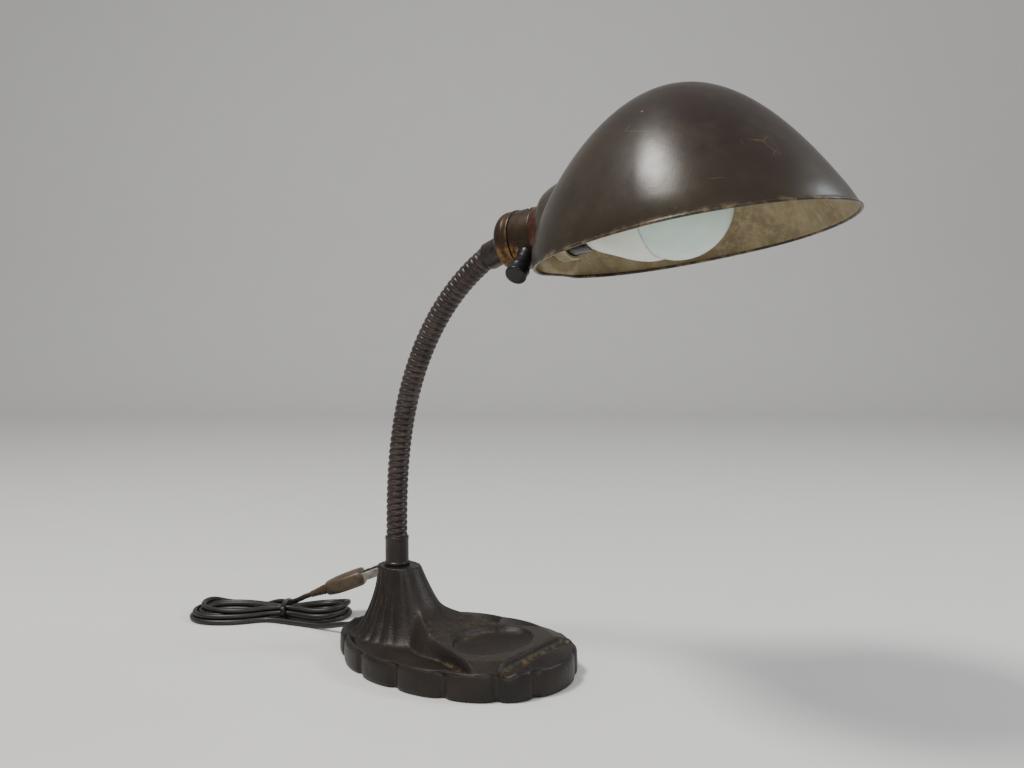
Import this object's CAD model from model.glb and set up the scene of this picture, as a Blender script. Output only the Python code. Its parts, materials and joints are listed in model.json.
"""Looks of the gooseneck desk lamp: a fine surface and a procedural material for every visible piece."""

import json
import math

import bmesh
import bpy
import numpy as np
from mathutils import Matrix, Vector


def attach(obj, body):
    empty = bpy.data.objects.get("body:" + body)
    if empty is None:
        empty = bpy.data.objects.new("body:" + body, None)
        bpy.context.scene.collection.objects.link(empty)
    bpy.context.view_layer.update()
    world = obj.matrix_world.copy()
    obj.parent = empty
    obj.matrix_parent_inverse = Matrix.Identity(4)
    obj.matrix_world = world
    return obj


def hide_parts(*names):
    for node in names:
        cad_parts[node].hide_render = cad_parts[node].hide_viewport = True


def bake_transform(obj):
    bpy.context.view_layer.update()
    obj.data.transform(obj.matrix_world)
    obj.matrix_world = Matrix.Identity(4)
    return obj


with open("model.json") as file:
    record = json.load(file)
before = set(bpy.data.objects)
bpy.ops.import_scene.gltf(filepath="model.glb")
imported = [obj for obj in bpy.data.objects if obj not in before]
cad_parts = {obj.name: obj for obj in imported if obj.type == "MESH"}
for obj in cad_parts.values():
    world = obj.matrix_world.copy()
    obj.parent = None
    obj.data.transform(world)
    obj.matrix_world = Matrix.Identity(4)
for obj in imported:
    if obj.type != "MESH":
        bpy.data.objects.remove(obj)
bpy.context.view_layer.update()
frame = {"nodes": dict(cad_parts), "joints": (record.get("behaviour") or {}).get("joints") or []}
MM = 0.001
JOINTS = {joint["name"]: joint for joint in frame["joints"]}

# ---- sizes shared with the design -----------------------------------------------------------------
PEDESTAL_HEIGHT, TROUGH_HEIGHT, RIM_HEIGHT = 60.5, 12.3, 16.0      # base, in mm
BASE_NOTCHES = [(133.6, 23.0), (117.1, 42.5), (86.1, 56.5), (50.1, 60.5), (15.1, 55.0), (-16.9, 36.5)]
FRONT_BULGE, SIDE_BULGE, BACK_BULGE = 5.8, 2.7, 23.2
NECK_START = 81.0 * MM
NECK_RADIUS = 7.3 * MM
RIB_PITCH = 4.35 * MM
CORD_RADIUS = 2.0 * MM
BULB_PIVOT = 47.0 * MM                          # from the holder's centre to the bulb joint
BULB_AXIS = Vector(JOINTS["bulb_unscrew"]["axis"]).normalized()
HOLDER_CENTRE = Vector(JOINTS["bulb_unscrew"]["pos_m"]) - BULB_AXIS * BULB_PIVOT
HOLDER_TILT = math.atan2(BULB_AXIS.z, BULB_AXIS.x)
HOLDER = Matrix.Translation(HOLDER_CENTRE) @ Matrix.Rotation(math.pi / 2 - HOLDER_TILT, 4, "Y")


def add_object(name, data):
    made = bpy.data.objects.new(name, data)
    bpy.context.scene.collection.objects.link(made)
    return made


# ---- camera ---------------------------------------------------------------------------------------
CAMERA_PLACE, CAMERA_LENS = (0.450, -0.5015, 0.225), 33.75
CAMERA_HEADING, CAMERA_PITCH = math.radians(35.0), math.radians(3.2)


def make_camera():
    """Stands in front and to the right of the lamp, a little below the shade, looking slightly down."""
    heading, pitch = CAMERA_HEADING, CAMERA_PITCH
    look = Vector((-math.sin(heading) * math.cos(pitch), math.cos(heading) * math.cos(pitch),
                   -math.sin(pitch)))
    data = bpy.data.cameras.new("camera")
    data.lens = CAMERA_LENS
    data.sensor_width = 36.0
    data.clip_start = 0.01
    made = add_object("camera", data)
    made.location = CAMERA_PLACE
    made.rotation_euler = look.to_track_quat("-Z", "Y").to_euler()
    bpy.context.scene.camera = made


# ---- materials ------------------------------------------------------------------------------------
class Paint:
    """A Principled material and short names for the nodes that feed it."""

    def __init__(self, name, roughness, metallic=0.0, **settings):
        self.material = bpy.data.materials.new(name)
        self.material.use_nodes = True
        self.tree = self.material.node_tree
        self.shader = self.tree.nodes["Principled BSDF"]
        self.shader.inputs["Roughness"].default_value = roughness
        self.shader.inputs["Metallic"].default_value = metallic
        for socket, value in settings.items():
            self.shader.inputs[socket.replace("_", " ")].default_value = value
        self.place = self.add("ShaderNodeTexCoord").outputs["Object"]

    def add(self, kind, **values):
        node = self.tree.nodes.new(kind)
        for key, value in values.items():
            setattr(node, key, value)
        return node

    def link(self, source, socket):
        if isinstance(source, (int, float)):
            socket.default_value = source
        elif isinstance(source, tuple):
            socket.default_value = (*source, 1.0) if len(source) == 3 else source
        else:
            self.tree.links.new(source, socket)

    def stretched(self, x, y, z):
        """The object's coordinates, stretched, so that a pattern runs along one direction."""
        node = self.add("ShaderNodeMapping")
        self.link(self.place, node.inputs["Vector"])
        node.inputs["Scale"].default_value = (x, y, z)
        return node.outputs["Vector"]

    def noise(self, scale, detail, rough=0.55, distort=0.0):
        node = self.add("ShaderNodeTexNoise")
        self.link(self.place, node.inputs["Vector"])
        node.inputs["Scale"].default_value = scale
        node.inputs["Detail"].default_value = detail
        node.inputs["Roughness"].default_value = rough
        node.inputs["Distortion"].default_value = distort
        return node.outputs["Fac"]

    def cells(self, scale, feature="F1", place=None):
        node = self.add("ShaderNodeTexVoronoi", feature=feature)
        self.link(place or self.place, node.inputs["Vector"])
        node.inputs["Scale"].default_value = scale
        return node.outputs["Distance"]

    def attribute(self, name):
        node = self.add("ShaderNodeAttribute", attribute_name=name)
        return node.outputs["Fac"]

    def ramp(self, value, low, high):
        """0 up to low, 1 from high, smooth between."""
        node = self.add("ShaderNodeMapRange", interpolation_type="SMOOTHSTEP")
        self.link(value, node.inputs["Value"])
        node.inputs["From Min"].default_value = low
        node.inputs["From Max"].default_value = high
        return node.outputs["Result"]

    def math(self, kind, a, b):
        node = self.add("ShaderNodeMath", operation=kind)
        self.link(a, node.inputs[0])
        self.link(b, node.inputs[1])
        return node.outputs[0]

    def mix(self, amount, a, b):
        node = self.add("ShaderNodeMix", data_type="RGBA")
        self.link(amount, node.inputs["Factor"])
        self.link(a, node.inputs["A"])
        self.link(b, node.inputs["B"])
        return node.outputs["Result"]

    def blend(self, amount, low, high):
        """A number that goes from low to high with amount."""
        node = self.add("ShaderNodeMapRange")
        self.link(amount, node.inputs["Value"])
        node.inputs["To Min"].default_value = low
        node.inputs["To Max"].default_value = high
        return node.outputs["Result"]

    def colour(self, source):
        self.link(source, self.shader.inputs["Base Color"])

    def rough(self, source):
        self.link(source, self.shader.inputs["Roughness"])

    def bump(self, height, distance, strength):
        node = self.add("ShaderNodeBump")
        node.inputs["Strength"].default_value = strength
        node.inputs["Distance"].default_value = distance
        self.link(height, node.inputs["Height"])
        self.link(node.outputs["Normal"], self.shader.inputs["Normal"])


def cast_iron():
    """Sand-cast iron under old dark bronze paint, rubbed to dull gold on the raised edges."""
    paint = Paint("cast_iron_paint", 0.5, 0.15, Specular_IOR_Level=0.4)
    broad = paint.noise(28.0, 5.0, 0.6)
    grain = paint.noise(900.0, 3.0, 0.6)
    base = paint.mix(paint.ramp(broad, 0.35, 0.7), (0.0085, 0.0055, 0.0043), (0.0200, 0.0130, 0.0088))
    dusty = paint.ramp(paint.noise(70.0, 6.0, 0.7), 0.5, 0.75)
    base = paint.mix(paint.math("MULTIPLY", dusty, 0.5), base, (0.030, 0.0215, 0.0135))
    worn = paint.math("MULTIPLY", paint.attribute("wear"),
                      paint.ramp(paint.noise(230.0, 6.0, 0.8), 0.44, 0.66))
    base = paint.mix(paint.math("MULTIPLY", worn, 0.75), base, (0.135, 0.092, 0.036))
    pits = paint.ramp(paint.cells(420.0), 0.0, 0.35)
    paint.colour(paint.mix(paint.math("MULTIPLY", paint.math("SUBTRACT", 1.0, pits), 0.6), base,
                           (0.008, 0.006, 0.005)))
    paint.rough(paint.blend(paint.math("ADD", broad, paint.math("MULTIPLY", grain, 0.4)), 0.28, 0.54))
    height = paint.math("ADD", paint.math("MULTIPLY", grain, 0.5), paint.math("MULTIPLY", pits, 0.6))
    height = paint.math("ADD", height, paint.math("MULTIPLY", paint.noise(150.0, 5.0, 0.6), 2.0))
    paint.bump(height, 0.0003, 0.7)
    return paint.material


def neck_paint():
    """Dark brown lacquer on wound steel: bare and shiny on the ridges, dusty in the grooves."""
    paint = Paint("neck_lacquer", 0.34, 0.35)
    ridge = paint.attribute("ridge")
    tone = paint.mix(paint.ramp(paint.noise(45.0, 5.0, 0.6), 0.35, 0.7), (0.022, 0.0135, 0.0125),
                     (0.042, 0.028, 0.025))
    rubbed = paint.math("MULTIPLY", paint.ramp(ridge, 0.72, 1.0),
                        paint.ramp(paint.noise(120.0, 4.0, 0.7), 0.4, 0.7))
    tone = paint.mix(paint.math("MULTIPLY", rubbed, 0.7), tone, (0.095, 0.068, 0.056))
    paint.colour(paint.mix(paint.ramp(ridge, 0.0, 0.4), (0.010, 0.007, 0.006), tone))
    paint.rough(paint.blend(paint.noise(260.0, 3.0), 0.28, 0.5))
    paint.bump(paint.noise(1400.0, 2.0), 0.00008, 0.5)
    return paint.material


def ferrule_paint():
    paint = Paint("ferrule_lacquer", 0.35, 0.3)
    tone = paint.mix(paint.ramp(paint.noise(60.0, 5.0, 0.6), 0.35, 0.7), (0.0135, 0.0085, 0.0075),
                     (0.025, 0.0165, 0.014))
    worn = paint.math("MULTIPLY", paint.attribute("wear"),
                      paint.ramp(paint.noise(240.0, 5.0, 0.7), 0.48, 0.68))
    paint.colour(paint.mix(paint.math("MULTIPLY", worn, 0.6), tone, (0.13, 0.09, 0.055)))
    paint.rough(paint.blend(paint.noise(300.0, 3.0), 0.28, 0.48))
    paint.bump(paint.noise(900.0, 3.0), 0.0001, 0.4)
    return paint.material


def holder_brass():
    """Old brass under brown patina, rubbed to amber underneath, and a bare coppery band at the shade."""
    paint = Paint("holder_brass", 0.3, 0.7)
    tone = paint.mix(paint.ramp(paint.noise(42.0, 5.0, 0.65), 0.35, 0.7), (0.020, 0.0125, 0.0085),
                     (0.058, 0.036, 0.020))
    patch = paint.ramp(paint.noise(62.0, 5.0, 0.62, 0.4), 0.455, 0.60)
    tone = paint.mix(paint.math("MULTIPLY", patch, paint.attribute("rubbed")), tone, (0.34, 0.17, 0.032))
    ruddy = paint.mix(paint.ramp(paint.noise(90.0, 4.0), 0.3, 0.7), (0.070, 0.022, 0.018),
                      (0.150, 0.052, 0.036))
    tone = paint.mix(paint.attribute("copper"), tone, ruddy)
    worn = paint.math("MULTIPLY", paint.attribute("wear"),
                      paint.ramp(paint.noise(260.0, 5.0, 0.7), 0.42, 0.62))
    tone = paint.mix(paint.math("MULTIPLY", worn, 0.7), tone, (0.17, 0.115, 0.065))
    specks = paint.ramp(paint.cells(380.0), 0.05, 0.16)
    paint.colour(paint.mix(specks, (0.012, 0.008, 0.006), tone))
    rough = paint.blend(paint.noise(150.0, 5.0, 0.65), 0.30, 0.56)
    paint.rough(paint.math("SUBTRACT", rough, paint.math("MULTIPLY", paint.attribute("copper"), 0.16)))
    paint.bump(paint.noise(520.0, 4.0, 0.6), 0.00012, 0.6)
    return paint.material


def shade_outside():
    """Bronze lacquer, darker and browner in clouds, with fine scratches down to the brass."""
    paint = Paint("shade_bronze_lacquer", 0.3, 0.12, Specular_IOR_Level=0.36)
    cloud = paint.ramp(paint.noise(13.0, 6.0, 0.6, 0.3), 0.34, 0.68)
    tone = paint.mix(cloud, (0.0225, 0.0135, 0.0105), (0.034, 0.025, 0.0145))
    tone = paint.mix(paint.math("MULTIPLY", paint.ramp(paint.noise(48.0, 5.0, 0.65), 0.45, 0.75), 0.45),
                     tone, (0.050, 0.040, 0.024))
    lines = paint.cells(26.0, "DISTANCE_TO_EDGE", paint.stretched(1.0, 2.2, 3.4))
    scratch = paint.math("MULTIPLY", paint.ramp(lines, 0.006, 0.0),
                         paint.ramp(paint.noise(34.0, 2.0), 0.60, 0.68))
    chips = paint.math("MULTIPLY", paint.ramp(paint.cells(150.0), 0.13, 0.08),
                       paint.ramp(paint.noise(26.0, 3.0), 0.60, 0.66))
    tone = paint.mix(paint.math("MAXIMUM", scratch, chips), tone, (0.26, 0.15, 0.055))
    worn = paint.math("MULTIPLY", paint.attribute("wear"),
                      paint.ramp(paint.noise(110.0, 5.0, 0.7), 0.46, 0.66))
    tone = paint.mix(paint.math("MULTIPLY", worn, 0.8), tone, (0.21, 0.145, 0.08))
    paint.colour(tone)
    paint.rough(paint.blend(paint.noise(60.0, 6.0, 0.6), 0.24, 0.40))
    height = paint.math("ADD", paint.math("MULTIPLY", paint.noise(700.0, 3.0, 0.6), 0.25),
                        paint.noise(55.0, 2.0))
    paint.bump(height, 0.00022, 0.5)
    return paint.material


def shade_inside():
    """The inside: cream-gold paint, browned and spotted."""
    paint = Paint("shade_inner_gold", 0.5, 0.25)
    cloud = paint.ramp(paint.noise(20.0, 6.0, 0.65, 0.5), 0.3, 0.72)
    tone = paint.mix(cloud, (0.16, 0.115, 0.055), (0.36, 0.30, 0.175))
    mottled = paint.ramp(paint.noise(190.0, 5.0, 0.7), 0.42, 0.68)
    tone = paint.mix(paint.math("MULTIPLY", mottled, 0.45), tone, (0.42, 0.36, 0.22))
    spots = paint.math("MULTIPLY", paint.ramp(paint.cells(260.0), 0.16, 0.07),
                       paint.ramp(paint.noise(40.0, 3.0), 0.5, 0.62))
    tone = paint.mix(spots, tone, (0.07, 0.042, 0.022))
    paint.colour(tone)
    paint.rough(paint.blend(paint.noise(90.0, 4.0), 0.38, 0.62))
    paint.bump(paint.noise(420.0, 4.0, 0.65), 0.0002, 0.6)
    return paint.material


def plain(name, dark, light, roughness, metallic=0.0, scale=120.0, grain=0.0001, **settings):
    """A moulded or plated surface: two close tones in clouds, uneven gloss and a fine grain."""
    paint = Paint(name, roughness, metallic, **settings)
    paint.colour(paint.mix(paint.ramp(paint.noise(scale, 5.0, 0.6), 0.35, 0.68), dark, light))
    paint.rough(paint.blend(paint.noise(scale * 2.3, 4.0), roughness * 0.8, min(1.0, roughness * 1.3)))
    paint.bump(paint.noise(scale * 8, 3.0, 0.6), grain, 0.5)
    return paint.material


def felt_look():
    paint = Paint("felt_wool", 0.95)
    fibres = paint.noise(1600.0, 4.0, 0.7, 1.5)
    paint.colour(paint.mix(fibres, (0.012, 0.028, 0.018), (0.04, 0.075, 0.05)))
    paint.bump(fibres, 0.0003, 0.9)
    return paint.material


def frosted_globe():
    paint = Paint("bulb_globe_frosted", 0.22, 0.0, IOR=1.46, Subsurface_Weight=0.5, Subsurface_Scale=0.012)
    paint.colour(paint.mix(paint.ramp(paint.noise(60.0, 4.0), 0.3, 0.7), (0.74, 0.74, 0.66),
                           (0.82, 0.82, 0.74)))
    paint.rough(paint.blend(paint.noise(220.0, 3.0), 0.16, 0.3))
    paint.bump(paint.noise(1200.0, 2.0), 0.00005, 0.3)
    return paint.material


LOOKS = {}


def make_looks():
    LOOKS.update(
        iron=cast_iron(), neck=neck_paint(), ferrule=ferrule_paint(), brass=holder_brass(),
        outside=shade_outside(), inside=shade_inside(), felt=felt_look(), globe=frosted_globe(),
        steel=plain("plated_steel", (0.22, 0.205, 0.18), (0.40, 0.38, 0.34), 0.32, 1.0),
        black=plain("black_moulding", (0.006, 0.006, 0.0065), (0.012, 0.0115, 0.0115), 0.3,
                    Specular_IOR_Level=0.3),
        sleeve=plain("holder_sleeve_black", (0.006, 0.0045, 0.0045), (0.022, 0.007, 0.006), 0.22),
        fibre=plain("vulcanised_fibre", (0.10, 0.06, 0.035), (0.15, 0.095, 0.055), 0.8),
        porcelain=plain("glazed_porcelain", (0.66, 0.63, 0.55), (0.76, 0.73, 0.66), 0.22),
        ring=plain("shade_ring_zinc", (0.30, 0.26, 0.155), (0.50, 0.45, 0.30), 0.38, 0.35),
        bulb=plain("bulb_white_plastic", (0.70, 0.71, 0.65), (0.78, 0.78, 0.72), 0.28, 0.0, 40.0, 0.00004,
                   Subsurface_Weight=0.15, Subsurface_Scale=0.006),
        cord=plain("cord_jacket", (0.0065, 0.0050, 0.0042), (0.014, 0.0100, 0.0078), 0.4, 0.0, 160.0,
                   0.00012),
        plug=plain("plug_moulding", (0.042, 0.025, 0.012), (0.076, 0.047, 0.023), 0.4, 0.0, 140.0, 0.00012),
        wire=plain("wire_cover", (0.16, 0.02, 0.015), (0.26, 0.035, 0.025), 0.5))


# ---- mesh helpers ---------------------------------------------------------------------------------
def add_mesh(name, points, faces, look, sharp=None):
    data = bpy.data.meshes.new(name)
    data.from_pydata([tuple(p) for p in points], [], faces)
    data.update()
    data.shade_smooth()
    if sharp:
        data.set_sharp_from_angle(angle=math.radians(sharp))
    data.materials.append(LOOKS[look])
    return add_object(name, data)


def grid_faces(rows, around, closed=True):
    """Quads between rows of points that run round a ring."""
    last = around if closed else around - 1
    faces = []
    for row in range(rows - 1):
        for i in range(last):
            j = (i + 1) % around
            a = row * around
            faces.append((a + i, a + j, a + around + j, a + around + i))
    return faces


def shell_of(name, rows, look, sharp=None):
    """A skin through rings of points, anticlockwise seen from the last row, capped at both ends."""
    around = len(rows[0])
    points = [p for row in rows for p in row]
    faces = grid_faces(len(rows), around)
    faces.append(tuple(range(around))[::-1])
    faces.append(tuple(range((len(rows) - 1) * around, len(rows) * around)))
    return add_mesh(name, points, faces, look, sharp=sharp)


def revolved(name, profile, place, look, steps, closed=True, sharp=35, radius_at=None):
    """Turns (radius, height) points in mm round local Z of a matrix; a radius of 0 ends in one point."""
    points, rows = [], []
    for radius, height in profile:
        row = []
        if radius == 0:
            row = [len(points)] * steps
            points.append(place @ Vector((0, 0, height * MM)))
        else:
            for i in range(steps):
                angle = 2 * math.pi * i / steps
                size = radius_at(radius, height, angle) if radius_at else radius
                row.append(len(points))
                points.append(place @ Vector((size * math.cos(angle) * MM, size * math.sin(angle) * MM,
                                              height * MM)))
        rows.append(row)
    pairs = list(zip(rows, rows[1:])) + ([(rows[-1], rows[0])] if closed else [])
    faces = []
    for upper, lower in pairs:
        for i in range(steps):
            j = (i + 1) % steps
            corners = [upper[i], lower[i], lower[j], upper[j]]
            face = [c for k, c in enumerate(corners) if c not in corners[:k]]
            if len(face) > 2:
                faces.append(tuple(face))
    return add_mesh(name, points, faces, look, sharp=sharp)


def rounded(corners, radius, steps=4):
    """The (radius, height) corners with each one rounded off; a corner may give its own radius."""
    out = []
    count = len(corners)
    for i, corner in enumerate(corners):
        here = Vector(corner[:2])
        size = corner[2] if len(corner) > 2 else radius
        if size == 0:
            out.append(tuple(here))
            continue
        before, after = Vector(corners[i - 1][:2]), Vector(corners[(i + 1) % count][:2])
        size = min(size, (before - here).length * 0.45, (after - here).length * 0.45)
        a = here + (before - here).normalized() * size
        b = here + (after - here).normalized() * size
        for step in range(steps + 1):
            t = step / steps
            out.append(tuple(a * (1 - t) ** 2 + here * 2 * t * (1 - t) + b * t * t))
    return out


def set_attribute(obj, name, values):
    data = obj.data.attributes.new(name, "FLOAT", "POINT")
    data.data.foreach_set("value", np.asarray(values, np.float32))


def coordinates(obj):
    out = np.zeros(len(obj.data.vertices) * 3, np.float32)
    obj.data.vertices.foreach_get("co", out)
    return out.reshape(-1, 3)


def local_points(obj, place):
    """The object's points in mm, in the axes of a matrix."""
    inverse = place.inverted()
    return np.array([(inverse @ Vector(p))[:] for p in coordinates(obj)]) / MM


def smooth_step(low, high, value):
    t = np.clip((np.asarray(value, float) - low) / (high - low), 0, 1)
    return t * t * (3 - 2 * t)


def grid_normals(grid):
    """Unit normals of a (row, column) grid that closes round its columns."""
    normal = np.cross(np.roll(grid, -1, 1) - np.roll(grid, 1, 1), np.gradient(grid, axis=0))
    return normal / (np.linalg.norm(normal, axis=2, keepdims=True) + 1e-12)


def convexity(grid, reach):
    """How far each point of a grid stands out of its neighbours, over their distance."""
    normal = grid_normals(grid)
    total = np.zeros(grid.shape[:2])
    for step in reach:
        above = grid[np.clip(np.arange(len(grid)) - step, 0, None)]
        below = grid[np.clip(np.arange(len(grid)) + step, None, len(grid) - 1)]
        left, right = np.roll(grid, step, 1), np.roll(grid, -step, 1)
        for a, b in ((above, below), (left, right)):
            middle = (a + b) / 2 - grid
            span = np.linalg.norm(a - b, axis=2) + 1e-9
            total = np.maximum(total, np.abs(np.einsum("ijk,ijk->ij", middle, normal)) / span
                               * np.sign(-np.einsum("ijk,ijk->ij", middle, normal)))
    return total


# ---- base -----------------------------------------------------------------------------------------
def bulged(a, b, sagitta, steps):
    """Points from a towards b along an arc that stands out by the sagitta."""
    chord = b - a
    half = chord.length / 2
    radius = (half ** 2 + sagitta ** 2) / (2 * sagitta)
    out = Vector((chord.y, -chord.x)).normalized()
    centre = (a + b) / 2 + out * (sagitta - radius)
    sweep = 2 * math.asin(half / radius)
    first = a - centre
    return [centre + Matrix.Rotation(sweep * i / steps, 2) @ first for i in range(steps)]


def base_outline():
    right = [Vector((x, -y)) for x, y in BASE_NOTCHES]
    left = [Vector((x, y)) for x, y in BASE_NOTCHES]
    corners = [right[0]] + left + right[:0:-1]
    bulges = [FRONT_BULGE] + [SIDE_BULGE] * 5 + [BACK_BULGE] + [SIDE_BULGE] * 5
    points = []
    for a, b, bulge in zip(corners, corners[1:] + corners[:1], bulges):
        points += bulged(a, b, bulge, 60 if bulge == BACK_BULGE else 30)
    return np.array([(p.x, p.y) for p in points])


def inset_of(points, outline):
    """How far each point lies inside the outline, in mm."""
    a, b = outline, np.roll(outline, -1, 0)
    d = b - a
    best = np.full(len(points), 1e9)
    for start, step in zip(a, d):
        t = np.clip(((points - start) @ step) / (step @ step), 0, 1)
        best = np.minimum(best, np.hypot(*(points - start - t[:, None] * step).T))
    return best


def soft_max(a, b, width):
    return 0.5 * (a + b + np.sqrt((a - b) ** 2 + width ** 2))


def soft_min(a, b, width):
    return 0.5 * (a + b - np.sqrt((a - b) ** 2 + width ** 2))


def pedestal_radius(height, angle):
    rise = np.clip(height / PEDESTAL_HEIGHT, 0, 1)
    back = 13.6 + 26.0 * (1 - rise) ** 1.9
    front = 18.0 + 34.0 * (1 - rise) ** 1.05
    facing = np.maximum(0, np.cos(angle)) ** 2
    depth = 1.3 * np.sin(np.pi * np.clip(rise * 0.94 + 0.04, 0, 1)) ** 0.5
    flute = (0.5 + 0.5 * np.cos(20 * angle)) ** 1.6
    return back + (front - back) * facing - depth * flute * (1 - facing)


def pedestal_height(radius, angle):
    """The height at which the pedestal has a radius, by halving."""
    low, high = np.zeros_like(radius), np.full_like(radius, PEDESTAL_HEIGHT)
    for _ in range(24):
        middle = (low + high) / 2
        outside = pedestal_radius(middle, angle) > radius
        low, high = np.where(outside, middle, low), np.where(outside, high, middle)
    return low


def floor_of_base(x, y, depth):
    """The base's top, away from the pedestal: rim, trough, sloping platform, dish and pen groove."""
    rim = RIM_HEIGHT + 0.9 * np.clip(x / 60, 0, 1)
    edge = np.where(depth < 3.4, rim - 0.5 * (3.4 - depth) ** 2 / 3.4, rim)
    ground = soft_max(TROUGH_HEIGHT + 0 * x, edge - 1.1 * np.maximum(0, depth - 4.2), 0.7)
    half = np.interp(x, [10, 30, 40, 49, 73, 99, 150], [3, 10, 17, 23, 32, 44.5, 72])
    top = np.interp(x, [10, 30, 42, 52, 62, 73, 150], [38, 32.5, 28.4, 25.2, 22.8, 21.2, 21])
    top = np.minimum(top, np.where(x > 60, 17.2 + 0.36 * np.maximum(0, depth - 2.6), 99))
    slope = np.interp(x, [30, 48, 66, 80], [16, 12, 5.0, 2.8])
    side = np.clip((np.abs(y) - half) / slope, -1, 1.4)
    platform = top - np.where(side > 0, (top - TROUGH_HEIGHT + 1.0) * smooth_step(0, 1, side), 0)
    platform = np.where(x < 8, 0, platform)
    ground = soft_max(ground, platform, 0.8) - 0.1
    dish = ((x - 84) / 23.4) ** 2 + (y / 31.4) ** 2
    bowl = 21.2 - 8.0 * np.sqrt(np.clip(1 - dish, 0, 1)) + 9 * np.maximum(0, dish - 1)
    ground = soft_min(ground, bowl, 0.7)
    along = np.hypot(x - 119.5, np.maximum(0, np.abs(y + 1.5) - 34.5))
    channel = 20.6 - np.sqrt(np.clip(5.9 ** 2 - along ** 2, 0, 35)) + 4 * np.maximum(0, along - 5.9)
    return soft_min(ground, channel, 0.6)


def make_base():
    outline = base_outline()
    columns = 900
    angles = np.arange(columns) * 2 * np.pi / columns
    way = np.stack([np.cos(angles), np.sin(angles)], 1)
    nearest = np.unwrap(np.arctan2(outline[:, 1], outline[:, 0]))
    size = np.hypot(outline[:, 0], outline[:, 1])
    order = np.argsort(np.mod(nearest, 2 * np.pi))
    reach = np.interp(angles, np.mod(nearest, 2 * np.pi)[order], size[order], period=2 * np.pi)

    rows = []
    def surface(radius):
        spot = way * radius[:, None]
        depth = np.maximum(0, inset_of(spot, outline))
        ground = floor_of_base(spot[:, 0], spot[:, 1], depth)
        rise = pedestal_height(radius, angles)
        height = soft_max(ground, rise, 3.0 + 5.0 * np.clip(np.cos(angles), 0, 1) ** 2)
        height = np.where(radius < pedestal_radius(PEDESTAL_HEIGHT - 0.01, angles), PEDESTAL_HEIGHT, height)
        rows.append(np.column_stack([spot, np.minimum(height, PEDESTAL_HEIGHT)]))

    crown = pedestal_radius(np.full(columns, PEDESTAL_HEIGHT), angles)
    for share in (0.55, 0.8, 0.93):
        rows.append(np.column_stack([way * (crown * share)[:, None], np.full(columns, PEDESTAL_HEIGHT)]))
    for lift, back in ((0.0, 0.7), (0.25, 0.25), (0.9, 0.0)):
        radius = pedestal_radius(np.full(columns, PEDESTAL_HEIGHT - lift), angles) - back
        rows.append(np.column_stack([way * radius[:, None], np.full(columns, PEDESTAL_HEIGHT - lift)]))
    for height in np.linspace(PEDESTAL_HEIGHT - 2, 15.0, 64):
        surface(pedestal_radius(np.full(columns, height), angles))
    foot = pedestal_radius(np.full(columns, 15.0), angles)
    for share in np.linspace(0, 1, 150)[1:]:
        surface(foot + (reach - 2.6 - foot) * share)
    rim_line = way * reach[:, None]
    inward = np.roll(rim_line, -1, 0) - np.roll(rim_line, 1, 0)
    inward = np.column_stack([-inward[:, 1], inward[:, 0]]) / np.hypot(*inward.T)[:, None]
    notches = np.array([(x, side * y) for x, y in BASE_NOTCHES for side in (-1, 1)])
    far = np.min(np.linalg.norm(rim_line[:, None] - notches[None], axis=2), axis=1)
    crease = 1.5 * np.exp(-(far / 2.6) ** 2) + 0.7 * np.exp(-(far / 7.0) ** 2)
    top = rows[-1][:, 2]
    for depth, drop in ((1.75, 0.35), (1.0, 1.3), (0.45, 2.8)):
        rows.append(np.column_stack([rim_line + inward * (depth + crease * 0.8)[:, None],
                                     top - drop - 0.3 * crease]))
    for depth, height in ((0.15, 10.0), (0.0, 7.5), (0.0, 5.0), (0.05, 3.0), (0.4, 1.4), (1.0, 0.5)):
        rows.append(np.column_stack([rim_line + inward * (depth + crease)[:, None],
                                     np.full(columns, height)]))
    grid = np.array(rows)
    made = shell_of("base_casting", (grid * MM).tolist(), "iron")
    made.data.flip_normals()
    wear = smooth_step(0.045, 0.15, convexity(grid, (2, 4)))
    wear[-9:] *= 0.15
    wear[:3] = 0
    front = smooth_step(25, 50, grid[:, :, 0]) * smooth_step(46, 30, grid[:, :, 2])
    wear = np.clip(wear + 0.35 * front * smooth_step(20.0, 24.0, grid[:, :, 2]), 0, 1)
    set_attribute(made, "wear", wear.ravel())
    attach(made, "base")
    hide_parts("base")


NECK_LENGTH, NECK_DROP, NECK_CURL = 216.0 * MM, math.radians(58.0), 1.57


def neck_line(steps=2160):
    """(point, slope) at equal steps along the neck's centreline."""
    step = NECK_LENGTH / steps
    places, spot = [], Vector((0, 0, NECK_START))
    for i in range(steps + 1):
        slope = math.pi / 2 - NECK_DROP * (i / steps) ** NECK_CURL
        places.append((spot.copy(), slope))
        middle = math.pi / 2 - NECK_DROP * ((i + 0.5) / steps) ** NECK_CURL
        spot += Vector((math.cos(middle), 0, math.sin(middle))) * step
    return places


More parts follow.
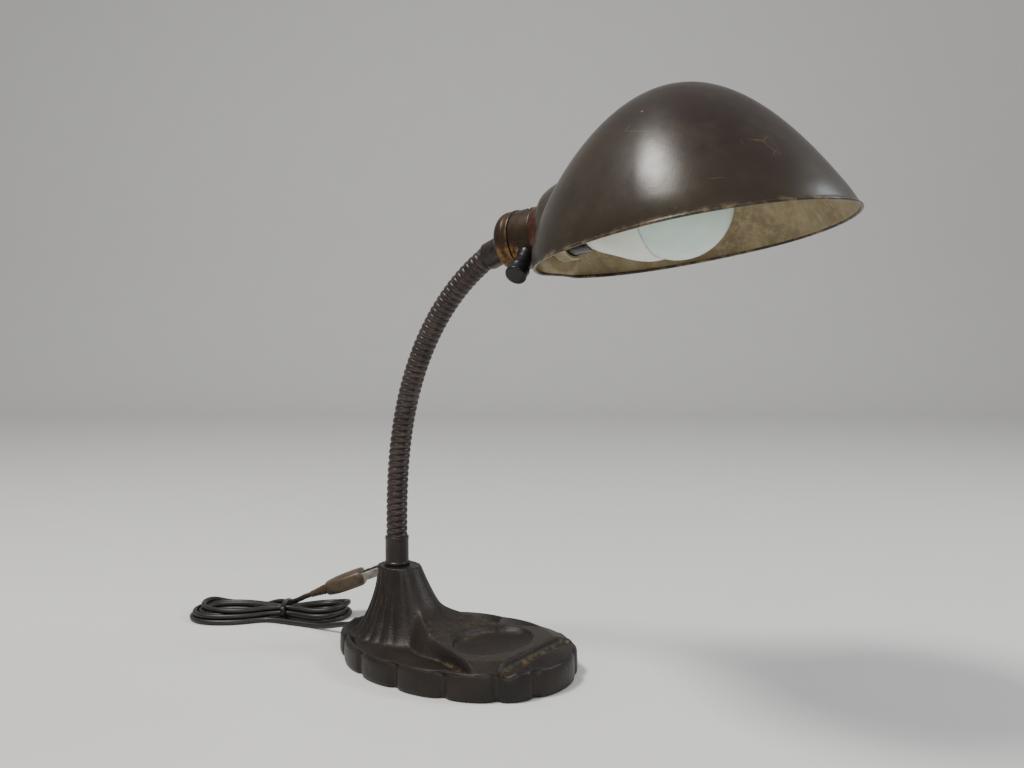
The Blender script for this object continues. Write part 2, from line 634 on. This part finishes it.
def make_neck():
    """Twelve lengths of one wound tube, each bending where its hinge is."""
    line = neck_line()
    count, around, per_rib = len(line) - 1, 56, 16
    first, spacing = 4.0 * MM, (NECK_LENGTH - 4.0 * MM) / 12
    stations = [first + i * spacing for i in range(12)]
    cuts = [0.0] + [(a + b) / 2 for a, b in zip(stations, stations[1:])] + [NECK_LENGTH]
    for i, (start, stop) in enumerate(zip(cuts, cuts[1:])):
        rings = max(8, round((stop - start) / RIB_PITCH * per_rib))
        rows, ridges = [], []
        for k in range(rings + 1):
            along = start + (stop - start) * k / rings
            index = along / NECK_LENGTH * count
            low = min(int(index), count - 1)
            spot = line[low][0].lerp(line[low + 1][0], index - low)
            slope = line[low][1] + (line[low + 1][1] - line[low][1]) * (index - low)
            up = Vector((-math.sin(slope), 0, math.cos(slope)))
            row = []
            for j in range(around):
                turn = 2 * math.pi * j / around
                phase = (along / RIB_PITCH - j / around) % 1.0
                ridge = math.sin(math.pi * phase) ** 0.5
                radius = NECK_RADIUS + 0.15 * MM - 1.1 * MM * (1 - ridge)
                side = up * math.cos(turn) + Vector((0, -1, 0)) * math.sin(turn)
                row.append(spot + side * radius)
                ridges.append(ridge)
            rows.append(row)
        piece = shell_of(f"neck_tube_{i + 1:02d}", rows, "neck")
        set_attribute(piece, "ridge", ridges)
        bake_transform(piece)
        names = ["neck_end"] if i == 11 else [f"neck_link_{i + 1:02d}"]
        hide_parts(*names)
    return line[-1][0]


def make_ferrules(end):
    bottom, top = 60.8, 81.0
    lower = revolved("lower_ferrule_cover", rounded([
        (8.9, bottom), (8.9, bottom + 1.8), (8.2, bottom + 2.5), (8.15, top - 3.0), (8.35, top - 2.4),
        (8.35, top - 0.4), (7.6, top), (4.2, top - 0.2), (4.2, bottom)], 0.3),
        Matrix.Identity(4), "ferrule", 64)
    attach(lower, "base")
    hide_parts("lower_ferrule")
    inward = HOLDER_CENTRE - end
    place = Matrix.Translation(end) @ inward.to_track_quat("Z", "Y").to_matrix().to_4x4()
    reach = inward.length / MM - 10.6
    upper = revolved("upper_ferrule_cover", rounded([
        (6.2, 0.9), (7.4, 0.5, 0.6), (8.9, 2.6, 0.5), (8.9, reach - 0.3), (5.1, reach), (5.1, 2.0)], 0.35),
        place, "ferrule", 64)
    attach(upper, "head")
    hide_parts("upper_ferrule")
    for made in (lower, upper):
        near = local_points(made, place if made is upper else Matrix.Identity(4))
        radius = np.hypot(near[:, 0], near[:, 1])
        edge = reach if made is upper else top
        near_edge = smooth_step(3.0, 0.0, np.abs(near[:, 2] - edge))
        set_attribute(made, "wear", smooth_step(8.3, 8.7, radius) * near_edge)


# ---- lampholder -----------------------------------------------------------------------------------
def across_holder(height, turn):
    """Axes at a height in mm on the holder's axis, with Z pointing out of its side at an angle."""
    return (HOLDER @ Matrix.Translation((0, 0, height * MM)) @ Matrix.Rotation(math.radians(turn), 4, "Z")
            @ Matrix.Rotation(math.pi / 2, 4, "Y"))


def make_holder():
    dome = [(18.8 * math.cos(a), -0.5 - 10.0 * math.sin(a)) for a in np.linspace(0.08, math.pi / 2, 22)]
    dome[-1] = (0, -10.5)
    inner = [(17.9 * math.cos(a), -0.5 - 9.2 * math.sin(a)) for a in np.linspace(0.08, math.pi / 2, 12)]
    inner[-1] = (0, -9.7)
    profile = rounded([(18.0, 6.0, 0), (18.75, 6.0, 0.2), (19.05, 5.5, 0.3), (19.05, 4.5, 0.3),
                       (18.7, 3.9, 0.3), (18.7, 1.6, 0.2), (18.85, 1.2, 0.2), (18.85, 0.2, 0.2),
                       (18.75, -0.5, 0)], 0.3)
    profile += dome + inner[::-1] + [(17.95, -0.3)]
    cap = revolved("holder_cap_shell", profile, HOLDER, "brass", 96)
    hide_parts("holder_cap")

    shell = revolved("holder_barrel", rounded([
        (17.6, 6.3, 0), (18.35, 6.3, 0.3), (18.3, 20.6, 0.4), (18.1, 21.2, 0.3), (18.5, 22.2, 0.5),
        (18.75, 25.0, 1.0), (18.75, 28.2, 1.4), (17.8, 30.8, 0.8), (16.6, 31.1, 0), (16.6, 30.2, 0),
        (17.6, 27.6, 0.4)], 0.3),
        HOLDER, "brass", 96)
    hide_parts("holder_shell")

    sleeve = revolved("holder_sleeve_thread", [(16.2, float(s)) for s in np.linspace(24.0, 55.0, 12)]
                      + [(16.2, 55.6), (15.9, 56.0), (15.3, 55.9), (15.3, 24.0)], HOLDER, "sleeve", 96,
                      sharp=60)
    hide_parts("holder_sleeve")

    def ribbed(radius, height, angle):
        """Grip ribs round the outside of the ring's middle."""
        if radius > 18.3 and 34.0 < height < 40.7:
            return radius - 0.5 * (0.5 + 0.5 * math.cos(60 * angle)) ** 0.7
        return radius
    ring = revolved("shade_ring_grip", rounded([
        (16.5, 41.6), (18.2, 41.6), (18.7, 41.0), (18.7, 40.6, 0.1), (18.68, 37.0, 0), (18.7, 34.1, 0.1),
        (18.7, 33.2), (18.3, 32.6), (16.5, 32.6)], 0.3), HOLDER, "ring", 480, sharp=40, radius_at=ribbed)
    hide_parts("shade_ring")

    head = [(0, 20.1), (1.2, 20.0), (2.0, 19.7), (2.35, 19.2), (2.4, 18.6), (1.1, 18.6), (1.1, 17.7),
            (0, 17.7)]
    screw = revolved("set_screw_head", head, across_holder(11.5, 170), "steel", 40, closed=False)
    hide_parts("holder_set_screw")

    knob_place = across_holder(15.5, -47)
    knob = revolved("switch_knob_grip",
                    [(0, 38.0), (2.5, 38.0), (5.2, 37.95), (6.0, 37.8), (6.5, 37.4), (6.72, 36.8)]
                    + [(6.72 - 0.28 * math.sin(math.pi * k / 10), 36.6 - 0.58 * k) for k in range(11)]
                    + [(6.5, 30.2), (6.1, 29.8), (6.0, 29.2), (6.0, 26.4), (5.8, 25.6), (5.3, 25.2),
                       (5.2, 23.75), (0, 23.75)], knob_place, "black", 96, closed=False, sharp=45)
    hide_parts("switch_knob")
    bushing = revolved("switch_bushing_boss", rounded([
        (2.5, 23.6), (5.2, 23.6), (5.3, 22.4), (5.4, 19.6), (5.8, 18.6), (6.0, 17.0), (2.5, 17.0)], 0.3),
        knob_place, "black", 48)
    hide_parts("switch_bushing")

    for made in (cap, shell, sleeve, ring, screw, bushing):
        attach(made, "head")
    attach(knob, "switch")
    for made in (cap, shell):
        near = local_points(made, HOLDER)
        radius = np.hypot(near[:, 0], near[:, 1])
        bead = smooth_step(18.8, 19.0, radius) if made is cap else 0.6 * smooth_step(18.62, 18.75, radius)
        set_attribute(made, "wear", np.clip(bead, 0, 1))
        under = smooth_step(0.1, 0.75, near[:, 0] / (radius + 1e-6) - 0.2 * near[:, 1] / (radius + 1e-6))
        set_attribute(made, "rubbed", under * (0.75 if made is cap else 1.0))
        set_attribute(made, "copper", smooth_step(20.8, 23.0, near[:, 2]))


# ---- shade ----------------------------------------------------------------------------------------
SHADE_CENTRE = Vector((232.2, 0.0, 276.8))
SHADE_TILT = math.radians(10.1)
SHADE_FRONT, SHADE_BACK, SHADE_HALF, SHADE_HIGH, SHADE_SKIRT = 81.0, 101.7, 80.9, 87.9, 3.5
SHADE_SEAT, SHADE_WALL, SHADE_HOLE, BEAD = 32.3, 0.8, 16.7, 1.6


def shade_point(angle, rise):
    """A point of the shade's outer face in mm: rise goes from 0 at the mouth to 1 at the crown."""
    c, s = math.cos(angle), math.sin(angle)
    power, reach, spread_power = (1.9, SHADE_FRONT, 0.945) if c > 0 else (2.2, SHADE_BACK, 1.18)
    size = (abs(c) ** power + abs(s) ** power) ** (-1 / power)
    mouth = Vector((reach * c * size, SHADE_HALF * s * size))
    spread_power = spread_power * c * c + 1.025 * s * s
    swing = rise * math.pi / 2
    spread = max(math.cos(swing), 1e-6) ** spread_power
    height = math.sin(swing) ** 1.65
    flat = mouth * spread
    flat.x += -10.9 * height ** 0.53
    height = height * (SHADE_HIGH - SHADE_SKIRT) + SHADE_SKIRT * smooth_share(rise * 6)
    return SHADE_CENTRE + Matrix.Rotation(-SHADE_TILT, 3, "Y") @ Vector((flat.x, flat.y, height))


def smooth_share(value):
    """Rises quickly from 0 and eases into 1."""
    return 1 - (1 - min(1.0, value)) ** 2


def seated(point):
    """Presses the dome flat where it meets the holder's shoulder."""
    if point.z > SHADE_SEAT + 30:
        return point
    blend = float(smooth_step(24.0, 34.0, math.hypot(point.x, point.y)))
    back = SHADE_SEAT - SHADE_WALL
    return Vector((point.x, point.y, back + (point.z - back) * blend))


def make_shade():
    columns, rings = 288, 84
    to_axis = HOLDER.inverted()
    turns = [2 * math.pi * i / columns for i in range(columns)]
    angles = [turn + 0.3 * math.sin(turn) for turn in turns]
    outer = []
    for ring in range(rings + 1):
        rise = (ring / rings) ** 1.15
        row = []
        for angle in angles:
            spot = to_axis @ (shade_point(angle, min(rise, 0.9999)) * MM)
            row.append(seated(spot / MM))
        outer.append(row)
    grid = np.array([[tuple(p) for p in row] for row in outer])
    normal = grid_normals(grid)
    normal[-1] = normal[-1].mean(0)
    normal[-1] /= np.linalg.norm(normal[-1], axis=1, keepdims=True)
    inner = grid - normal * SHADE_WALL
    curl = []
    down = np.array((to_axis.to_3x3() @ (Matrix.Rotation(-SHADE_TILT, 3, "Y") @ Vector((0, 0, -1))))[:])
    flat_out = normal[0] - (normal[0] @ down)[:, None] * down
    flat_out /= np.linalg.norm(flat_out, axis=1, keepdims=True)
    for turn in np.linspace(0, 1.5 * math.pi, 11):
        out, low = BEAD / 2 * math.sin(turn) + 0.1, BEAD / 2 * (1 - math.cos(turn))
        curl.append(grid[0] + flat_out * out * 1.1 + down * low)
    rows = [inner[i] for i in range(rings, -1, -1)] + curl[::-1] + list(grid[1:])
    points = [tuple(p) for row in rows for p in row]
    faces = grid_faces(len(rows), columns)
    flat = np.array(points)
    in_hole = (np.hypot(flat[:, 0], flat[:, 1]) < SHADE_HOLE) & (flat[:, 2] < SHADE_SEAT + 2)
    keep = [(face, 1 if n // columns < rings else 0)
            for n, face in enumerate(faces) if not all(in_hole[i] for i in face)]
    data = bpy.data.meshes.new("shade_dome")
    placed = [HOLDER @ (Vector(p) * MM) for p in points]
    data.from_pydata([tuple(p) for p in placed], [], [face for face, _ in keep])
    data.materials.append(LOOKS["outside"])
    data.materials.append(LOOKS["inside"])
    data.polygons.foreach_set("material_index", [side for _, side in keep])
    data.shade_smooth()
    data.update()
    build = bmesh.new()
    build.from_mesh(data)
    bmesh.ops.delete(build, geom=[v for v in build.verts if not v.link_faces], context="VERTS")
    bmesh.ops.recalc_face_normals(build, faces=build.faces)
    build.to_mesh(data)
    build.free()
    made = add_object("shade_dome", data)
    inverse = Matrix.Rotation(SHADE_TILT, 3, "Y")
    lifts = [(inverse @ (Vector(v.co) / MM - SHADE_CENTRE)).z for v in data.vertices]
    set_attribute(made, "wear", 1 - smooth_step(-0.8, 2.2, lifts))
    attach(made, "shade")
    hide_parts("shade")


# ---- bulb -----------------------------------------------------------------------------------------
def make_bulb():
    side = [(15.0, 47.6), (15.0, 55.6), (15.6, 56.6), (16.6, 58.4), (17.8, 60.8), (19.3, 64.6), (21.0, 69.0),
            (22.8, 73.4), (24.4, 77.2), (26.0, 81.4), (27.3, 85.6), (28.2, 89.6), (28.6, 93.4),
            (28.5, 97.2), (28.1, 98.0), (27.8, 98.1)]
    inner = [(26.6, 98.0), (27.0, 92.0), (24.4, 81.0), (19.6, 70.0), (14.2, 58.0), (13.6, 47.6)]
    housing = revolved("bulb_housing_skin", side + inner, HOLDER, "bulb", 96, sharp=50)
    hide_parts("bulb_housing")
    radius, inner_radius, centre = 31.0, 29.6, 112.5
    low = math.acos((98.2 - centre) / radius)
    globe = [(radius * math.sin(a), centre + radius * math.cos(a)) for a in np.linspace(0, low, 64)]
    globe[0] = (0, centre + radius)
    inside = [(inner_radius * math.sin(a), centre + inner_radius * math.cos(a))
              for a in np.linspace(low - 0.02, 0, 40)]
    inside[-1] = (0, centre + inner_radius)
    dome = revolved("bulb_globe_skin", globe + inside, HOLDER, "globe", 128)
    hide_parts("bulb_globe")
    for made in (housing, dome):
        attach(made, "bulb")


# ---- cord -----------------------------------------------------------------------------------------
HANK_CENTRE, HANK_TURN = Vector((-131.0, 1.0, 0.0)), math.radians(35.0)
TIE_STATION, PLUG_STATION, PLUG_TILT, PLUG_LIFT = 10.0, 57.0, math.radians(20.0), 27.6
HANK = Matrix.Translation(HANK_CENTRE * MM) @ Matrix.Rotation(HANK_TURN, 4, "Z")
OPEN, TIGHT, HANK_LEFT, HANK_RIGHT, CORD_STEP = 14.4, 2.3, -41.0, 39.4, 4.2
STRAY_CENTRE, STRAY_RADIUS = (-32.0, 8.0), 25.0
CORD_ROUTE = [(-42.3, 0, 9), (-48, 0, 8.9), (-54, -0.1, 8.0), (-60, -0.2, 6.2), (-67, -0.4, 4.0),
              (-75, -0.8, 2.5), (-84, -1.8, 2.1), (-92, -3.6, 2.1)]
PLUG = (HANK @ Matrix.Translation(Vector((PLUG_STATION, 0, PLUG_LIFT)) * MM)
        @ Matrix.Rotation(-PLUG_TILT, 4, "Y"))


def side_of(u, offset):
    """How far a slot of the hank lies from its middle line: closest at the tie."""
    away = abs(u - TIE_STATION) / (29.0 if u > TIE_STATION else 40.0)
    return TIGHT + offset + (OPEN - TIGHT) * float(smooth_step(0, 1, away))


def near_side(offset, height, stop):
    return [(u, -side_of(u, offset), height) for u in np.linspace(HANK_RIGHT, stop, 26)[:-1]]


def right_loops(slots):
    """The right loop of each turn, rolling over the one before into the next slot."""
    share = smooth_step(0, 1, np.linspace(0, 1, 19)[:-1])
    radius = OPEN + slots[0][0] + (slots[1][0] - slots[0][0]) * share
    height = np.full(18, slots[0][1])
    loops = [(radius, height)]
    for before, here, after in zip(slots, slots[1:], slots[2:]):
        start = math.atan2(here[1] - before[1], here[0] - before[0])
        end = math.atan2(after[1] - here[1], after[0] - here[0])
        turn = start + (end - start) * share
        radius = radius + CORD_STEP * np.cos(turn)
        height = height + CORD_STEP * np.sin(turn)
        loops.append((radius, height))
    return loops


def laps(slots):
    """The hank's turns: near side, left loop, far side, right loop."""
    points = []
    for (offset, height), (radii, heights) in zip(slots, right_loops(slots)):
        points += near_side(offset, height, HANK_LEFT)
        for a in np.radians(np.linspace(-90, -270, 19)[:-1]):
            points.append((HANK_LEFT + (OPEN + offset) * math.cos(a), (OPEN + offset) * math.sin(a), height))
        points += [(u, side_of(u, offset), height) for u in np.linspace(HANK_LEFT, HANK_RIGHT, 26)[:-1]]
        for a, radius, high in zip(np.radians(np.linspace(90, -90, 19)[:-1]), radii, heights):
            points.append((HANK_RIGHT + radius * math.cos(a), radius * math.sin(a), high))
    return points


def stray_loop(offset, height):
    """The last turn: a wide loop lying beyond the hank, back over it and through the tie."""
    points = near_side(offset, height, STRAY_CENTRE[0])
    for turn in np.linspace(-90, -310, 27):
        a = math.radians(turn)
        high = float(np.interp(turn, [-250, -238, -222, -200, -90], [2.1, 3.4, 7.4, 9.6, height]))
        points.append((STRAY_CENTRE[0] + STRAY_RADIUS * math.cos(a),
                       STRAY_CENTRE[1] + STRAY_RADIUS * math.sin(a), high))
    end = points[-1]
    ahead = (math.sin(math.radians(50)), -math.cos(math.radians(50)))
    for run, high in ((4, 2.1), (8, 3.2), (12, 4.9), (16, 6.7), (20, 8.3), (24, 9.5), (28, 9.8), (32, 9.5)):
        points.append((end[0] + ahead[0] * run, end[1] + ahead[1] * run, high))
    return points + [(11.6, 4.3, 9.5), (15, 2.0, 10.5), (19, 0.6, 12.6)]


def evened(path, spacing):
    """The path as points an even distance apart."""
    path = np.array(path)
    steps = np.linalg.norm(np.diff(path, axis=0), axis=1)
    along = np.concatenate([[0], np.cumsum(steps)])
    count = max(2, round(along[-1] / spacing))
    even = np.linspace(0, along[-1], count + 1)
    return np.column_stack([np.interp(even, along, path[:, k]) for k in range(3)])


def relaxed(path, rounds, held):
    """The path with its corners eased, its ends held."""
    path = path.copy()
    for _ in range(rounds):
        moved = (path[:-2] + 2 * path[1:-1] + path[2:]) / 4
        path[1 + held:-1 - held] = moved[held:len(moved) - held]
    return path


def make_cord():
    slots = [(8.4, 2.1), (4.2, 2.1), (0.0, 2.1), (2.1, 5.74), (6.3, 5.74), (4.2, 9.37)]
    loops = laps(slots) + stray_loop(*slots[-1])
    loops = loops[next(i for i, p in enumerate(loops) if p[0] < -2):]
    to_hank = HANK.inverted()
    start = [tuple(to_hank @ (Vector(p) * MM) / MM) for p in CORD_ROUTE]
    finish = [tuple(to_hank @ PLUG @ (Vector((along, 0, 0)) * MM) / MM) for along in (-35.0, -29.0)]
    path = start + loops + finish
    even = relaxed(evened(path, 2.6), 10, 2)
    even = evened(even, 2.6)
    placed = [HANK @ (Vector(p) * MM) for p in even]
    placed[0] = Vector(CORD_ROUTE[0]) * MM
    data = bpy.data.curves.new("mains_cord", "CURVE")
    data.dimensions = "3D"
    data.bevel_depth = CORD_RADIUS
    data.bevel_resolution = 4
    data.use_fill_caps = True
    line = data.splines.new("POLY")
    line.points.add(len(placed) - 1)
    for point, place in zip(line.points, placed):
        point.co = (*place, 1.0)
    line.use_smooth = True
    data.materials.append(LOOKS["cord"])
    cord = add_object("mains_cord", data)

    band = make_tie()
    body, relief, blades = make_plug()
    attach(cord, "base")
    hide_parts("cord_tube", "cord_hank")


def squircle(wide, high, power, count):
    """A rounded rectangle's outline about the origin."""
    out = []
    for i in range(count):
        a = 2 * math.pi * i / count
        c, s = math.cos(a), math.sin(a)
        size = (abs(c) ** power + abs(s) ** power) ** (-1 / power)
        out.append((wide * c * size, high * s * size))
    return out


def make_tie():
    """A soft black strap round the hank's waist."""
    rows = []
    middle = 6.0
    for station, grow in ((-1.9, -0.5), (-1.7, 0.0), (-0.6, 0.25), (0.6, 0.25), (1.7, 0.0), (1.9, -0.5),
                          (1.6, -1.1), (-1.6, -1.1)):
        rows.append([HANK @ (Vector((TIE_STATION + station, y, max(0.15, middle + z))) * MM)
                     for y, z in squircle(13.6 + grow, 6.5 + grow, 3.2, 72)])
    rows.append(rows[0])
    points = [p for row in rows[:-1] for p in row]
    faces = grid_faces(len(rows) - 1, 72)
    last = (len(rows) - 2) * 72
    faces += [(last + i, last + (i + 1) % 72, (i + 1) % 72, i) for i in range(72)]
    made = add_mesh("cord_strap", points, faces, "black", sharp=50)
    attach(made, "base")
    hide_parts("cord_tie")
    return made


def make_plug():
    rows = []
    for along, wide, high in ((-15.5, 4.2, 3.9), (-15.3, 5.2, 4.6), (-14.2, 6.2, 5.2), (-11.0, 7.6, 5.7),
                              (-7.0, 8.9, 6.1), (-2.0, 9.7, 6.3), (4.0, 10.0, 6.4), (10.0, 10.0, 6.4),
                              (13.6, 9.8, 6.2), (15.0, 9.2, 5.6), (15.5, 8.2, 4.6)):
        rows.append([PLUG @ (Vector((along, y, z)) * MM) for y, z in squircle(wide, high, 3.6, 64)])
    body = shell_of("plug_grip", rows, "plug", sharp=50)
    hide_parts("plug_body")
    rows = []
    for k in range(49):
        along = -15.3 - 13.4 * k / 48
        radius = 4.3 - 1.8 * k / 48
        ring = 0.45 if (k // 4) % 2 and 3 < k < 46 else 0.0
        rows.append([PLUG @ (Vector((along, (radius - ring) * math.cos(a),
                                     (radius - ring) * math.sin(a))) * MM)
                     for a in np.linspace(0, 2 * math.pi, 33)[:-1]])
    relief = shell_of("plug_relief", rows, "plug", sharp=35)
    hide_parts("plug_strain_relief")
    blades = []
    for n, side in enumerate((-1, 1), 1):
        build = bmesh.new()
        bmesh.ops.create_cube(build, size=1.0)
        bmesh.ops.scale(build, vec=(23.0, 1.5, 6.3), verts=build.verts)
        bmesh.ops.bevel(build, geom=list(build.edges), offset=0.35, segments=3, affect="EDGES", profile=0.5)
        bmesh.ops.translate(build, vec=(20.0, side * 6.35, 0), verts=build.verts)
        data = bpy.data.meshes.new(f"plug_prong_{n}")
        build.to_mesh(data)
        build.free()
        data.transform(PLUG @ Matrix.Scale(MM, 4))
        data.materials.append(LOOKS["steel"])
        made = add_object(f"plug_prong_{n}", data)
        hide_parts(f"plug_blade_{n}")
        blades.append(made)
    for made in (body, relief, *blades):
        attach(made, "base")
    return body, relief, blades


# ---- inner pieces, floor and light ----------------------------------------------------------------
def dress_the_rest():
    """The design's own pieces that are shown as they are."""
    looks = {"felt_pad": "felt", "cord_bushing": "black", "base_nipple": "steel", "base_washer": "steel",
             "base_locknut": "steel", "base_lead": "cord", "upper_nipple": "steel", "holder_liner": "fibre",
             "holder_body": "porcelain", "centre_contact": "steel", "screw_shell": "brass",
             "terminal_screw_hot": "steel", "terminal_screw_neutral": "steel", "lead_hot": "wire",
             "lead_neutral": "wire", "switch_shaft": "steel", "bulb_tip": "steel", "bulb_screw_cap": "steel",
             "led_board": "steel", "led_driver": "porcelain"}
    for node, look in looks.items():
        piece = frame["nodes"][node]
        piece.data.materials.clear()
        piece.data.materials.append(LOOKS[look])


WORLD_STRENGTH = 0.46


def make_stage():
    paint = Paint("floor_paper", 0.75)
    paint.colour(paint.mix(paint.noise(14.0, 3.0), (0.70, 0.69, 0.67), (0.73, 0.72, 0.70)))
    LOOKS["floor"] = paint.material
    size, front, depth, bend, wall = 3.2, -2.2, 1.9, 0.5, 3.4
    rows = []
    away = Vector((-math.sin(CAMERA_HEADING), math.cos(CAMERA_HEADING), 0))
    side = Vector((math.cos(CAMERA_HEADING), math.sin(CAMERA_HEADING), 0))
    steps = [(front, 0.0), (depth, 0.0)]
    steps += [(depth + bend * math.sin(a), bend * (1 - math.cos(a)))
              for a in np.linspace(0.1, math.pi / 2, 14)]
    steps.append((depth + bend, wall))
    for along, height in steps:
        rows.append([away * along + side * s + Vector((0, 0, height)) for s in (-size, size)])
    points = [p for row in rows for p in row]
    floor = add_mesh("floor", points, grid_faces(len(rows), 2, closed=False), "floor")

    def lamp(name, place, aim, size_x, size_y, power, colour):
        data = bpy.data.lights.new(name, "AREA")
        data.shape = "RECTANGLE"
        data.size, data.size_y = size_x, size_y
        data.energy = power
        data.color = colour
        made = add_object(name, data)
        made.location = place
        made.rotation_euler = (Vector(aim) - Vector(place)).to_track_quat("-Z", "Y").to_euler()

    centre = (0.12, 0.0, 0.18)
    lamp("key", (-0.30, -0.65, 1.75), centre, 0.42, 0.36, 30, (1.0, 0.985, 0.95))
    lamp("fill", (1.35, -1.3, 1.0), centre, 0.9, 0.7, 9, (1.0, 0.985, 0.96))
    lamp("rim", (1.15, 0.75, 1.05), centre, 0.4, 0.35, 9, (0.86, 0.93, 1.0))
    world = bpy.data.worlds.new("studio")
    world.use_nodes = True
    world.node_tree.nodes["Background"].inputs["Color"].default_value = (0.86, 0.87, 0.88, 1)
    world.node_tree.nodes["Background"].inputs["Strength"].default_value = WORLD_STRENGTH
    bpy.context.scene.world = world


make_camera()
make_looks()
make_cord()
make_base()
NECK_END = make_neck()
make_ferrules(NECK_END)
make_holder()
make_shade()
make_bulb()
dress_the_rest()
make_stage()
